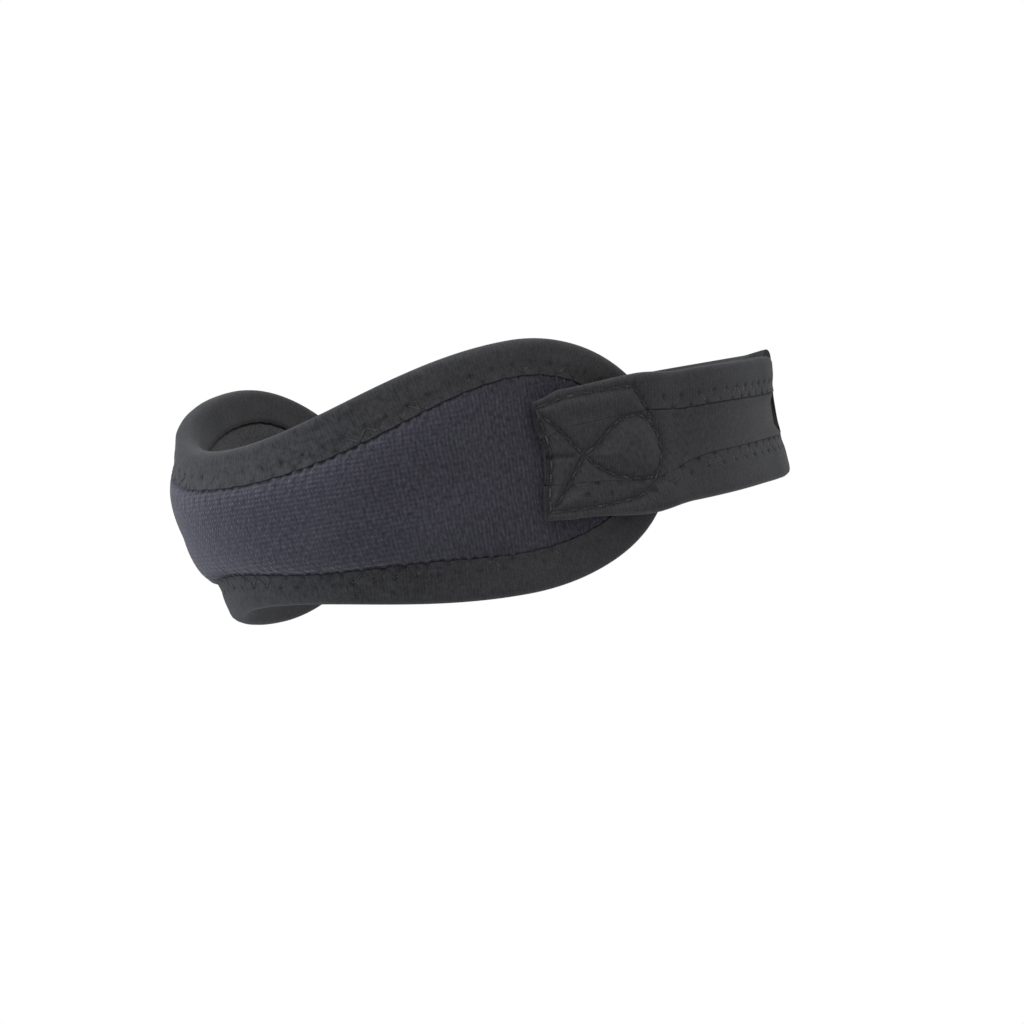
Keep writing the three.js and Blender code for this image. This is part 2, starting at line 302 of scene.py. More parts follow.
def add_grid(name, grid, cloth, rows_loop=False, columns_loop=True, shade=None):
    """A mesh piece from a grid of points in millimetres, capped where only its columns loop. cloth holds
    flat coordinates for each point, in millimetres, with one more row or column than the grid where that way
    loops. shade is dark at -1 with painted shade in a needle's hole, and light at 1 on a worn edge."""
    rows, columns = grid.shape[:2]
    row_steps = rows if rows_loop else rows - 1
    column_steps = columns if columns_loop else columns - 1
    row, column = np.meshgrid(np.arange(row_steps), np.arange(column_steps), indexing="ij")
    corners = [(row, column), (row, column + 1), (row + 1, column + 1), (row + 1, column)]
    quads = np.stack([(r % rows) * columns + c % columns for r, c in corners], axis=-1).reshape(-1, 4)
    flat = np.stack([cloth[r, c] for r, c in corners], axis=2).reshape(-1, 4, 2)
    points = grid.reshape(-1, 3) * MM
    faces = quads.tolist()
    if columns_loop and not rows_loop:
        faces.append(list(range(columns))[::-1])
        faces.append(list(range((rows - 1) * columns, rows * columns)))
    a, b, c, d = np.moveaxis(points[quads], 1, 0)
    volume = np.sum(a * (np.cross(b, c) + np.cross(c, d)))
    if volume < 0:
        faces = [face[::-1] for face in faces]
        flat = flat[:, ::-1]
    mesh = bpy.data.meshes.new(name)
    mesh.from_pydata(points.tolist(), [], faces)
    layer = mesh.uv_layers.new(name="cloth")
    values = np.zeros((len(mesh.loops), 2), dtype=np.float32)
    values[: flat.size // 2] = flat.reshape(-1, 2) * MM
    layer.data.foreach_set("uv", values.ravel())
    if shade is not None:
        layer = mesh.attributes.new("shade", "FLOAT", "POINT")
        layer.data.foreach_set("value", shade.ravel().astype(np.float32))
    mesh.polygons.foreach_set("use_smooth", np.arange(len(mesh.polygons)) < len(quads))
    mesh.update()
    return add_object(name, mesh)


def closed_cloth(along, up):
    """Flat cloth coordinates round a closed section."""
    flat = np.stack([along, up], axis=-1)
    return np.concatenate([flat, flat[:, :1]], axis=1)


def merge_points(piece):
    """Joins the points of a piece that lie on each other."""
    work = bmesh.new()
    work.from_mesh(piece.data)
    bmesh.ops.remove_doubles(work, verts=work.verts, dist=1e-6)
    work.to_mesh(piece.data)
    work.free()


# The pad's outline.
def lobe_share(along, lobe_along, rise):
    """How far a place is from the waist to the lobe, from 0 to 1."""
    return (1 - np.cos(np.pi * np.clip(np.abs(along) / lobe_along, 0, 1) ** rise)) / 2


def bulge_fade(along):
    """How much of the bulge in front is left at a length along the girth."""
    return 1 - smoothstep(np.abs(along), BULGE_FLAT, BULGE_END)


def pad_edge(along, is_top):
    """The height of the pad's upper or lower edge between its lobes, and its tape's face there."""
    if is_top:
        share = lobe_share(along, LOBE_TOP_ALONG, TOP_RISE)
        return lerp(WAIST_TOP, LOBE_TOP, share), eased(TOP_FACES, along)[0]
    share = lobe_share(along, LOBE_BOTTOM_ALONG, 1)
    return lerp(WAIST_BOTTOM, LOBE_BOTTOM, share), eased(BOTTOM_FACES, along)[0]


def pad_outline(waist_steps, end_steps):
    """Stations round the bound pad, anticlockwise from outside, as arrays. top_share is 1 on the upper edge
    and 0 on the lower, thickness is that at the fold, crest is the length along the crest that each faces,
    and length runs round the loop and back to its start."""
    waist = lerp(-1, 1, np.arange(waist_steps) / waist_steps)
    turn = lerp(-np.pi / 2, np.pi / 2, np.arange(end_steps) / end_steps)
    parts = []
    for side in (1, -1):
        is_top = side < 0
        edge = side * waist * (LOBE_TOP_ALONG if is_top else LOBE_BOTTOM_ALONG)
        up, face = pad_edge(edge, is_top)
        parts.append((edge, up, face, np.full(waist_steps, is_top), side * waist * LOBE_BOTTOM_ALONG))
        end = turn * side
        share = (1 + np.sin(end)) / 2
        reach = lerp(LOBE_BOTTOM_REACH, LOBE_TOP_REACH, share) * np.cos(end)
        edge = side * (lerp(LOBE_BOTTOM_ALONG, LOBE_TOP_ALONG, share) + reach)
        up = np.where(end > 0, LOBE_TOP, -LOBE_BOTTOM) * np.sin(end)
        crest_end = np.minimum(LOBE_BOTTOM_ALONG + LOBE_TOP_REACH * np.cos(end), CREST_END)
        parts.append((edge, up, lerp(BOTTOM_FACE_LOBE, TOP_FACE_LOBE, share), share, side * crest_end))
    along, up, face, top_share, crest = [np.concatenate(values) for values in zip(*parts)]
    at = np.stack([along, up], axis=-1)
    travel = unit(np.roll(at, -1, axis=0) - np.roll(at, 1, axis=0))
    length = path_lengths(np.concatenate([at, at[:1]]))
    zigzags = round(length[-1] / ZIGZAG_PITCH)
    return SimpleNamespace(
        at=at,
        inward=np.stack([-travel[:, 1], travel[:, 0]], axis=-1),
        length=length,
        face=face - SCALLOP * np.cos(2 * np.pi * zigzags * length[:-1] / length[-1]),
        top_share=top_share,
        crest=crest,
        thickness=2 * TAPE + 2 * GAP + lerp(BOTTOM_FOAM_EDGE, TOP_FOAM_EDGE, top_share),
        seam_level=SEAM_LEVEL + WAIST_LIFT * bulge_fade(along) * top_share,
    )


DENSE = pad_outline(1200, 800)
PAD_LOOP = DENSE.length[-1]
PAD_ZIGZAGS = round(PAD_LOOP / ZIGZAG_PITCH)


def at_pad_length(length, values):
    """Values at lengths round the pad's edge, from values at the dense stations."""
    return np.interp(np.mod(length, PAD_LOOP), DENSE.length, np.append(values, values[0]))


def on_pad_edge(length, inset):
    """Flat coordinates at a length round the pad's edge and an inset from it."""
    places = []
    for axis in (0, 1):
        at = at_pad_length(length, DENSE.at[:, axis])
        places.append(at + inset * at_pad_length(length, DENSE.inward[:, axis]))
    return places


def pad_tape_sizes(length):
    """The tape's face, its thickness at the fold and the level of its seam, at lengths round the pad."""
    return [at_pad_length(length, values) for values in (DENSE.face, DENSE.thickness, DENSE.seam_level)]


# Sewn relief that every tape shares.
def zigzag_inset(turns, face):
    """The inset of the zigzag after a number of its turns: an inner point at each whole turn."""
    wave = 1 - 4 * np.abs(np.mod(turns, 1) - 0.5)
    return face - ZIGZAG_INSET - ZIGZAG_HALF * wave


def tape_swell(inset, face):
    """A tape's soft section: a low crown, drawn down along the middle of its zigzag."""
    crown = TAPE_CROWN * np.sin(np.pi * np.clip(inset / face, 0, 1))
    return crown - TAPE_DRAW * hump(inset - face + ZIGZAG_INSET, TAPE_DRAW_WIDTH)


def needle_holes(length, inset, face, pitch):
    """The dimple at each point of a tape's zigzag, from 0 to 1."""
    turns = length / pitch
    holes = 0
    for shift, point in ((0, face - ZIGZAG_INSET + ZIGZAG_HALF), (0.5, face - ZIGZAG_INSET - ZIGZAG_HALF)):
        along_off = (np.mod(turns - shift + 0.5, 1) - 0.5) * pitch
        holes = holes + np.exp(-(along_off**2 + (inset - point) ** 2) / HOLE_SIZE**2)
    return holes * (0.75 + 0.5 * soft_noise(length, inset, 2.5, seed=6.5))


def fold_wear_and_shade(inset, out, thickness):
    """Where a tape's fold lies, from 0 to 1: worn lighter on most folds, with painted shade on a strap's
    upper fold.
    """
    return hump(inset, FOLD_WEAR_AND_SHADE_WIDTH) * (out > thickness * FOLD_WEAR_AND_SHADE_FROM)


# A tape's folded section: its outer side from the inner edge, closer together over the zigzag, a rounded
# fold, its inner side, and back inside the fold.
SEWN_BAND = 3.4
SEWN_INSETS = np.linspace(0, SEWN_BAND, 18)
PLAIN_SHARES = np.linspace(0, 1, 6)[1:]
FOLD_TURNS = np.linspace(0, np.pi, 9)[1:-1]
BACK_SHARES = np.linspace(0, 1, 6)
FOLD = TAPE + 2 * GAP


def tape_level(inset, face, thickness, seam_level):
    """The level of a tape's outer side: its thickness by the fold, rising to its seam."""
    return lerp(thickness, seam_level, np.clip((inset - FOLD) / (face - FOLD), 0, 1) ** 1.2)


def tape_section(face, thickness, seam_level):
    """Insets, outs and the share of outer relief, round a folded tape, for columns of its sizes."""
    ones = np.ones_like(face)
    sewn = face - SEWN_INSETS
    plain = lerp(face - SEWN_BAND, FOLD, PLAIN_SHARES)
    round_inset = FOLD * (1 - np.sin(FOLD_TURNS)) * ones
    round_out = thickness / 2 * (1 + np.cos(FOLD_TURNS)) * ones
    back = lerp(FOLD * ones, face, BACK_SHARES)
    inner_insets = [face, lerp(TAPE + GAP, face, 0.5), (TAPE + GAP) * ones, TAPE * ones]
    insets = [sewn, plain, round_inset, back, *inner_insets, *inner_insets[2::-1]]
    outs = [tape_level(part, face, thickness, seam_level) for part in (sewn, plain)]
    outs += [round_out, np.zeros_like(back), *[TAPE * ones] * 3, thickness / 2]
    outs += [tape_level(part, face, thickness, seam_level) - TAPE for part in inner_insets[2::-1]]
    outer = np.zeros(sum(part.shape[1] for part in insets))
    flat = len(SEWN_INSETS) + len(PLAIN_SHARES)
    outer[:flat] = 1
    outer[flat: flat + len(FOLD_TURNS)] = np.cos(FOLD_TURNS / 2) ** 2
    return np.concatenate(insets, axis=1), np.concatenate(outs, axis=1), outer


def tape_cloth(lengths, insets, outs):
    """Flat cloth coordinates round a tape's section: length along it, and distance across its face."""
    inset_steps = np.diff(insets, axis=1, append=insets[:, :1])
    out_steps = np.diff(outs, axis=1, append=outs[:, :1])
    across = np.cumsum(np.hypot(inset_steps, out_steps), axis=1)
    across = np.concatenate([np.zeros((len(across), 1)), across], axis=1)
    return np.stack([np.broadcast_to(lengths, across.shape), across], axis=-1)


def add_thread(name, centres, outwards, radius=THREAD_RADIUS, sides=6):
    """A run of thread: a tube through points in millimetres, with an outward direction at each."""
    ahead = unit(np.gradient(centres, axis=0))
    across = unit(np.cross(outwards, ahead))
    lift = np.cross(ahead, across)
    turn = np.arange(sides) * 2 * np.pi / sides
    sideways = np.cos(turn)[:, None] * across[:, None]
    grid = centres[:, None] + radius * (sideways + np.sin(turn)[:, None] * lift[:, None])
    around = np.arange(sides + 1) * 2 * np.pi * radius / sides
    cloth = np.stack(np.meshgrid(path_lengths(centres), around, indexing="ij"), axis=-1)
    return add_grid(name, grid, cloth)


def outward_at(along, up):
    """Outward directions from the oval."""
    return on_oval(along, up, 1.0) - on_oval(along, up, 0.0)


def join_pieces(name, pieces):
    """One piece from several meshes."""
    work = bmesh.new()
    for piece in pieces:
        work.from_mesh(piece.data)
        bpy.data.meshes.remove(piece.data)
    mesh = bpy.data.meshes.new(name)
    work.to_mesh(mesh)
    work.free()
    return add_object(name, mesh)


# Height of a thread over the cloth along one stitch: into the cloth at both ends.
STITCH_SEAT = 0.02
STITCH_DIVE = 0.36
STITCH_BEND = 0.09
STITCH_SHARES = np.linspace(0, 1, 9)
STITCH_ENDS = np.minimum(STITCH_SHARES, 1 - STITCH_SHARES)
STITCH_LIFT = -STITCH_SEAT - STITCH_DIVE * np.exp(-STITCH_ENDS / STITCH_BEND)


def uneven(turns):
    """How deep a zigzag's thread sinks after a number of its turns, from 0 to about 1."""
    return 0.5 + 0.9 * soft_noise(turns, 0, 1.3, seed=8.5)


def zigzag_path(first, last, end):
    """Turns along a zigzag from one half turn to another, and the thread's height at each."""
    halves = np.arange(first, last)
    turns = np.append((halves[:, None] + STITCH_SHARES[:-1]).ravel() / 2, end)
    return turns, np.append(np.tile(STITCH_LIFT[:-1], len(halves)), STITCH_LIFT[-1])


def bulge_at(along, share, is_top):
    """How far the pad bulges at a share of the way to its crest: steep below, gentle above."""
    rise = 1 - (1 - share) ** 2
    return BULGE * bulge_fade(along) * np.where(is_top, rise**0.75, rise**0.5)


def pad_crest(along):
    """The line along the pad where its bulge is fullest."""
    low_up, low_face = pad_edge(along, False)
    high_up, high_face = pad_edge(along, True)
    return np.stack([along, lerp(low_up + low_face, high_up - high_face, CREST_SHARE)], axis=-1)


def pad_outer_rows(outline, crest):
    """Flat places and outs on the pad's outer face, in rows from its crest to its puckered seam."""
    at, inward, face = outline.at, outline.inward, outline.face
    is_top = outline.top_share > 0.5
    phase = 2 * np.pi * PAD_ZIGZAGS * outline.length[:-1] / PAD_LOOP
    flush = SEAM_LEVEL - FLUSH_DROP
    rows = []
    for share in OUTER_SHARES:
        flat = lerp(at + inward * (face + SEAM_WIDTH)[:, None], crest, share)
        from_seam = share * np.linalg.norm(crest - at - inward * face[:, None], axis=1)
        gather = 0.6 + 0.8 * soft_noise(flat[:, 0], flat[:, 1], 5, seed=4.5)
        pucker = PUCKER * gather * np.exp(-from_seam / PUCKER_REACH) * np.cos(2 * phase) * (share < 0.7)
        sag = sum(depth * soft_noise(flat[:, 0], flat[:, 1], size, seed) for depth, size, seed in SAGS)
        lift = (outline.seam_level - SEAM_LEVEL) * (1 - share) ** LIFT_FADE
        bulge = bulge_at(lerp(at[:, 0], crest[:, 0], share), share, is_top)
        rows.append((flat, flush + lift + bulge + pucker + sag * smoothstep(share, 0, 0.3)))
    return rows


def make_pad():
    outline = pad_outline(300, 120)
    at, inward, face, length = outline.at, outline.inward, outline.face, outline.length[:-1]
    under = TAPE + GAP
    foam_edge = outline.thickness - 2 * under
    crest = pad_crest(outline.crest)
    seam = at + inward * face[:, None]
    rows = pad_outer_rows(outline, crest)
    seam_out = rows[-1][1]
    slack = 0.5 + 0.5 * soft_noise(length, 0, 3, seed=2.5)
    for inset, drop in EDGE_ROLL:
        flat = at + inward * (face + inset * lerp(0.45, 1.15, slack))[:, None]
        rows.append((flat, seam_out - drop * lerp(0.6, 1.3, slack)))
    rows.append((seam, outline.seam_level - under))
    for share, inset in ((1, under), (0.5, under - 0.2), (0, under)):
        rows.append((at + inward * inset, under + foam_edge * share))
    lining_from = len(rows) - 1
    rows.append((seam, np.full(len(at), under)))
    for share in INNER_SHARES:
        flat = lerp(at + inward * (face + SEAM_WIDTH)[:, None], crest, share)
        rows.append((flat, np.full(len(at), PAD_INNER_LEVEL)))
    along, up = np.moveaxis(np.stack([flat for flat, _ in rows], axis=1), -1, 0)
    grid = on_oval(along, up, np.stack([out for _, out in rows], axis=1))
    stretched = STRETCH * BULGE_END / np.pi * np.sin(np.pi * along / BULGE_END)
    cloth = np.stack([along - stretched, up], axis=-1)
    pad = add_grid("pad", grid, np.concatenate([cloth, cloth[:1]]), rows_loop=True, columns_loop=False)
    is_lining = np.arange(len(pad.data.polygons)) % (len(rows) - 1) >= lining_from
    pad.data.polygons.foreach_set("material_index", is_lining.astype(np.int32))
    merge_points(pad)
    return pad


def make_pad_tape():
    count = round(PAD_LOOP / TAPE_STEP)
    lengths = np.arange(count)[:, None] * PAD_LOOP / count
    face, thickness, seam_level = pad_tape_sizes(lengths)
    insets, outs, outer = tape_section(face, thickness, seam_level)
    pitch = PAD_LOOP / PAD_ZIGZAGS
    along, up = on_pad_edge(lengths, insets)
    holes = needle_holes(lengths, insets, face, pitch) * outer
    holes = holes * lerp(0.6, 1, bulge_fade(along))
    nap = soft_noise(lengths, insets, NAP_SIZE, seed=9.5) * bulge_fade(along) * outer
    relief = tape_swell(insets, face) * outer - HOLE_DEPTH * holes + NAP_DEPTH * nap
    deep = PAD_DEEP * hump(np.abs(along) - PAD_DEEP_ALONG, PAD_DEEP_WIDTH)
    wear = PAD_WEAR * fold_wear_and_shade(insets, outs, thickness)
    # Painted shade in the needle holes; the fold's wear, the darker band round the waist's sides and the
    # nap's specks are the tape's own tone.
    shade = wear - HOLE_PAINTED_SHADE * holes - deep + NAP_SHADE * nap
    grid = on_oval(along, up, outs + relief)
    cloth = tape_cloth(lengths, insets, outs)
    cloth = np.concatenate([cloth, cloth[:1] + np.array([PAD_LOOP, 0])])
    return add_grid("pad_tape", grid, cloth, rows_loop=True, shade=shade)


def make_pad_thread():
    pitch = PAD_LOOP / PAD_ZIGZAGS
    turns, lift = zigzag_path(0, 2 * PAD_ZIGZAGS, PAD_ZIGZAGS - 0.01)
    face, thickness, seam_level = pad_tape_sizes(turns * pitch)
    insets = zigzag_inset(turns, face)
    along, up = on_pad_edge(turns * pitch, insets)
    level = tape_level(insets, face, thickness, seam_level)
    lift = lift - THREAD_SINK * uneven(turns)
    centres = on_oval(along, up, level + tape_swell(insets, face) + lift)
    return add_thread("pad_thread", centres, outward_at(along, up))


# The straps.
def bottom_face(along):
    """The lower tape's face, narrower where the strap is sewn down."""
    return STRAP_BOTTOM_FACE - LOWER_FACE_NARROWING * (1 - smoothstep(along, *LOWER_FACE_WIDENS))


def strap_seams(strap, along):
    """The heights of the inner edges of a strap's lower and upper tapes."""
    top, bottom, _ = eased(STRAPS[strap], along)
    return bottom + bottom_face(along), top - STRAP_TOP_FACE


def off_lines(along, up, lines):
    """The distance from places on the flat strap to the nearest of some lines."""
    nearest = np.full(np.shape(along), 1e9)
    for line in lines:
        for start, end in zip(line[:-1], line[1:]):
            run = np.subtract(end, start)
            share = ((along - start[0]) * run[0] + (up - start[1]) * run[1]) / (run @ run)
            share = np.clip(share, 0, 1)
            off = np.hypot(along - start[0] - share * run[0], up - start[1] - share * run[1])
            nearest = np.minimum(nearest, off)
    return nearest


def inside_dome(along, up):
    """Whether places on the flat strap lie within the dome's outline."""
    within = np.zeros(np.shape(along), bool)
    for (x0, y0), (x1, y1) in zip(DOME[:-1], DOME[1:]):
        crosses = (y0 > up) != (y1 > up)
        at = x0 + (up - y0) * (x1 - x0) / (y1 - y0)
        within ^= crosses & (along < at)
    return within


def quilting(along, up):
    """How the sewn end swells between its stitches and sinks under them."""
    along, up = np.broadcast_arrays(along, up)
    off = off_lines(along, up, BOX_LINES)
    off_crease = off_lines(along, up, [CREASE])
    zone = 1 - smoothstep(along, *QUILTING_FADES)
    dome = DOME_SWELL * (1 - hump(off, DOME_SOFTNESS))
    lobes = QUILT_SWELL * (1 - hump(off, QUILT_SOFTNESS))
    swell = np.where(inside_dome(along, up), dome, lobes)
    sink = LINE_SINK * hump(off, LINE_WIDTH) + CREASE_SINK * hump(off_crease, CREASE_WIDTH)
    return zone * (swell - sink)


def pressed(strap, along):
    """The shares of its thickness that a strap keeps towards its sewn end and its far end."""
    near = lerp(SEWN_END_SHARE, 1, smoothstep(along, *SEWN_END_SWELLS))
    return near, lerp(FAR_END_SHARE, 1, smoothstep(STRAP_ENDS[strap] - along, 0, FAR_END_LENGTH))


def on_strap(strap, along, up, out, relief=0.0):
    """Points on a strap, whose edges curl outwards a little and whose sewn end is drawn in."""
    top, bottom, stand_off = eased(STRAPS[strap], along)
    curl = STRAP_CURL * ((up - (top + bottom) / 2) / ((top - bottom) / 2)) ** 2
    drawn = DRAWN_IN * hump(up - DRAWN_UP, DRAWN_HEIGHT) - DRAWN_BACK + smoothstep(up, *UPPER_CORNER)
    along = along + drawn * (1 - smoothstep(along, STRAP_START, STRAP_START + DRAWN_LENGTH))
    near, far = pressed(strap, along)
    flat_level = LAP_END_LEVEL if strap == "right" else 0
    level = stand_off + curl + near * lerp(flat_level, out, far) + relief
    return on_oval(SIDES[strap] * along, up, level)


def under_patch(strap, along):
    """How far a panel is pressed flat for the patch, which lies on the left one, from 0 to 1."""
    return smoothstep(along, *PATCH_PRESSES) if strap == "left" else 0 * along


def panel_level(strap, along):
    """The outer level of a strap's panel, lower on the left one towards its patch."""
    slope = SLOPE_SHARE * smoothstep(along, *PANEL_SLOPES) if strap == "left" else 0 * along
    return lerp(STRAP_PANEL_LEVEL, STRAP_OUTER_LEVEL, slope + PRESS_SHARE * under_patch(strap, along))


def at_sewn_end(along):
    """1 right at a strap's sewn end, fading within a millimetre or two."""
    return np.exp(-np.maximum(along - STRAP_START, 0) / END_EDGE)


def sewn_painted_shade(along, up):
    """Painted shade in the sewn grooves and crease, and at the sewn end."""
    along, up = np.broadcast_arrays(along, up)
    groove = LINE_PAINTED_SHADE * hump(off_lines(along, up, BOX_LINES), LINE_PAINTED_SHADE_WIDTH)
    crease = CREASE_PAINTED_SHADE * hump(off_lines(along, up, [CREASE]), CREASE_PAINTED_SHADE_WIDTH)
    return -groove - crease - END_PAINTED_SHADE * at_sewn_end(along)


def panel_face(strap, lengths, run, clear):
    """Heights, outs and relief of a panel's outer face, hollow past the sewn end, with a groove along the
    upper tape."""
    low_edge, high_edge = strap_seams(strap, run)
    opening = smoothstep(lengths, *PANEL_OPENS)
    up = lerp(low_edge + clear, high_edge - clear, np.linspace(0, 1, 52))
    from_high = high_edge - clear + SEAM_CLEAR - up
    rise = smoothstep(from_high, 0.01, 0.015 + 0.5 * opening)
    across = np.clip(from_high / (high_edge - low_edge), 0, 1)
    hollow = smoothstep(1 - across, 0, 0.3) * lerp(0.3, 1, smoothstep(across, 0, 0.25))
    hollow = np.maximum(hollow, under_patch(strap, lengths))
    level = lerp(STRAP_THICK, panel_level(strap, lengths), opening * hollow)
    out = lerp(level - PANEL_GROOVE * opening, level, rise)
    relief = quilting(run, up) * rise - END_ROLL * at_sewn_end(run)
    relief = relief + tape_swell(1, 1) * (1 - opening)
    return up, out, relief + PANEL_WAVE * soft_noise(run, up, 6, seed=3.5)


def make_strap_panel(strap):
    start, end = STRAP_START, STRAP_ENDS[strap]
    near = np.linspace(start + TAPE, FINE_END, 130)
    far = np.linspace(FINE_END, end - TAPE, round((end - FINE_END) / 0.5))[1:]
    lengths = np.concatenate([near, far])[:, None]
    # Between the tapes the panel reaches the strap's ends, and under them it stops short of them.
    from_end = smoothstep(lengths, end - PANEL_REACH, end - TAPE)
    reach = from_end - 1 + smoothstep(lengths, start + TAPE, start + PANEL_REACH)
    run = lengths + 0.98 * TAPE * reach
    clear = SEAM_CLEAR - SEWN_END_CLEAR * np.minimum(reach, 0)
    middle, raised, relief = panel_face(strap, lengths, run, clear)
    top, bottom, _ = eased(STRAPS[strap], lengths)
    low_seam, high_seam = strap_seams(strap, lengths)
    under = TAPE + GAP
    over = under + STRAP_EDGE
    inner = lerp(high_seam - SEAM_WIDTH, low_seam + SEAM_WIDTH, np.linspace(0, 1, 8))
    # The section as heights, lengths and outs: its outer side upwards, then its inner side downwards.
    section = [
        (bottom + under, lengths, over), (low_seam + clear, lengths, over), (middle, run, raised),
        (high_seam - clear, lengths, over), (top - under, lengths, over), (top - under, lengths, under),
        (high_seam, lengths, under), (inner, run, STRAP_INNER_LEVEL), (low_seam, lengths, under),
        (bottom + under, lengths, under),
    ]
    columns = [np.broadcast_arrays(*column) for column in section]
    up, along, out = [np.concatenate(values, axis=1) for values in zip(*columns)]
    face = slice(2, 2 + middle.shape[1])
    reliefs = np.zeros_like(up)
    reliefs[:, face] = relief
    shade = np.zeros_like(up)
    # Painted shade in the sewn grooves and crease and at the sewn end.
    shade[:, face] = sewn_painted_shade(run, middle)
    grid = on_strap(strap, along, up, out, reliefs)
    return add_grid(f"{strap}_strap_panel", grid, closed_cloth(along, up), shade=shade)


def tape_edge(strap, along, inset, is_top):
    """Heights on a strap's tape at insets from its edge, with the tape's face there."""
    top, bottom, _ = eased(STRAPS[strap], along)
    if is_top:
        return top - inset, STRAP_TOP_FACE + 0 * along
    return bottom + inset, bottom_face(along)


def zigzag_start(is_top):
    """The turn where a strap tape's zigzag begins, which is past the box on the upper tape."""
    start = TOP_ZIGZAG_START if is_top else BOTTOM_ZIGZAG_START
    return math.ceil(start / ZIGZAG_PITCH * 2) / 2


def make_strap_tape(strap, is_top):
    start, end = STRAP_START, STRAP_ENDS[strap]
    lengths = np.linspace(start, end, round((end - start) / TAPE_STEP))[:, None]
    face = tape_edge(strap, lengths, 0, is_top)[1]
    thickness = np.full_like(lengths, STRAP_THICK)
    insets, outs, outer = tape_section(face, thickness, thickness)
    # The fold is sewn shut at the strap's ends, past the panel.
    shut = 1 - smoothstep(np.minimum(end - lengths, lengths - start), 0, 0.8 * TAPE)
    cavity = STRAP_THICK / 2 + SEAM_CLEAR * np.sign(np.arange(-3, 4))
    outs[:, -len(cavity):] = lerp(outs[:, -len(cavity):], cavity, shut)
    along = lengths + 0 * insets
    up = tape_edge(strap, along, insets, is_top)[0]
    sewn = along > (zigzag_start(is_top) - 0.2) * ZIGZAG_PITCH
    holes = needle_holes(along, insets, face, ZIGZAG_PITCH) * sewn * outer
    relief = tape_swell(insets, face) + quilting(along, up) - END_ROLL * at_sewn_end(along)
    near, far = pressed(strap, along)
    relief = relief * outer - HOLE_DEPTH * holes * near * far
    # The upper tape's fold gets painted shade; the lower tape's fold is worn lighter.
    fold = -lerp(*TOP_FOLD_PAINTED_SHADES, smoothstep(along, *TOP_FOLD_PAINTED_SHADE_GROWS)) if is_top else STRAP_WEAR
    # Painted shade deepening along the tape towards the strap's far part.
    deep = STRAP_PAINTED_SHADE * smoothstep(along, *STRAP_PAINTED_SHADE_DEEPENS)
    # Painted shade in the needle holes, added to the fold's tone and the painted shade along the tape.
    shade = (fold * fold_wear_and_shade(insets, outs, STRAP_THICK) - deep) * (1 - shut) - HOLE_PAINTED_SHADE * holes
    # Painted shade in the sewn grooves and crease and at the sewn end.
    shade = shade + sewn_painted_shade(along, up) * np.maximum(outer, shut)
    grid = on_strap(strap, along, up, outs, relief)
    cloth = tape_cloth(lengths, insets, outs)
    name = f"{strap}_strap_{'top' if is_top else 'bottom'}_tape"
    return add_grid(name, grid, cloth, shade=shade)


def strap_level(strap, along, up):
    """The outer level of a strap and its relief: on the panel between the tapes, or on the tapes."""
    top, bottom, _ = eased(STRAPS[strap], along)
    low_seam, high_seam = strap_seams(strap, along)
    is_panel = (up > low_seam) & (up < high_seam)
    inset = np.minimum(top - up, up - bottom)
    swell = tape_swell(inset, np.where(up < low_seam, bottom_face(along), STRAP_TOP_FACE))
    opening = smoothstep(along, *PANEL_OPENS)
    relief = quilting(along, up) + np.where(is_panel, tape_swell(1, 1) * (1 - opening), swell)
    level = lerp(STRAP_THICK, panel_level(strap, along), opening)
    return np.where(is_panel, level, STRAP_THICK), relief


def line_stitches(strap, line):
    """Straight stitches along a sewn line, each a short run of thread that dives into the cloth."""
    points = np.array(line, dtype=float)
    run = path_lengths(points)
    count = round(run[-1] / BOX_STITCH)
    stitches = []
    for stitch in range(count):
        reach = (stitch + 0.16 + 0.68 * STITCH_SHARES) * run[-1] / count
        along = np.interp(reach, run, points[:, 0])
        up = np.interp(reach, run, points[:, 1])
        level, relief = strap_level(strap, along, up)
        centres = on_strap(strap, along, up, level, relief + BOX_THREAD_LIFT + STITCH_LIFT)
        outwards = outward_at(SIDES[strap] * along, up)
        stitches.append(add_thread("stitch", centres, outwards, radius=BOX_THREAD_RADIUS))
    return stitches


def tape_zigzag(strap, is_top):
    """The zigzag along one of a strap's tapes."""
    first = round(zigzag_start(is_top) * 2)
    last = math.floor((STRAP_ENDS[strap] - ZIGZAG_END) / ZIGZAG_PITCH * 2)
    turns, lift = zigzag_path(first, last, last / 2)
    along = turns * ZIGZAG_PITCH
    face = tape_edge(strap, along, 0, is_top)[1]
    insets = zigzag_inset(turns, face)
    up = tape_edge(strap, along, insets, is_top)[0]
    relief = tape_swell(insets, face) + quilting(along, up) + lift - THREAD_SINK * uneven(turns)
    centres = on_strap(strap, along, up, STRAP_THICK, relief)
    return add_thread("run", centres, outward_at(SIDES[strap] * along, up))


def make_strap_threads(strap):
    """The zigzags along both tapes, the box and cross, and the rows across the lap's end."""
    runs = [tape_zigzag(strap, is_top) for is_top in (True, False)]
    for line in BOX_LINES:
        runs += line_stitches(strap, line)
    if strap == "right":
        for inset in FAR_END_ROWS:
            along = STRAP_ENDS[strap] - inset
            runs += line_stitches(strap, [(along, FAR_ROW_TOP), (along, FAR_ROW_BOTTOM)])
    return join_pieces(f"{strap}_strap_thread", runs)


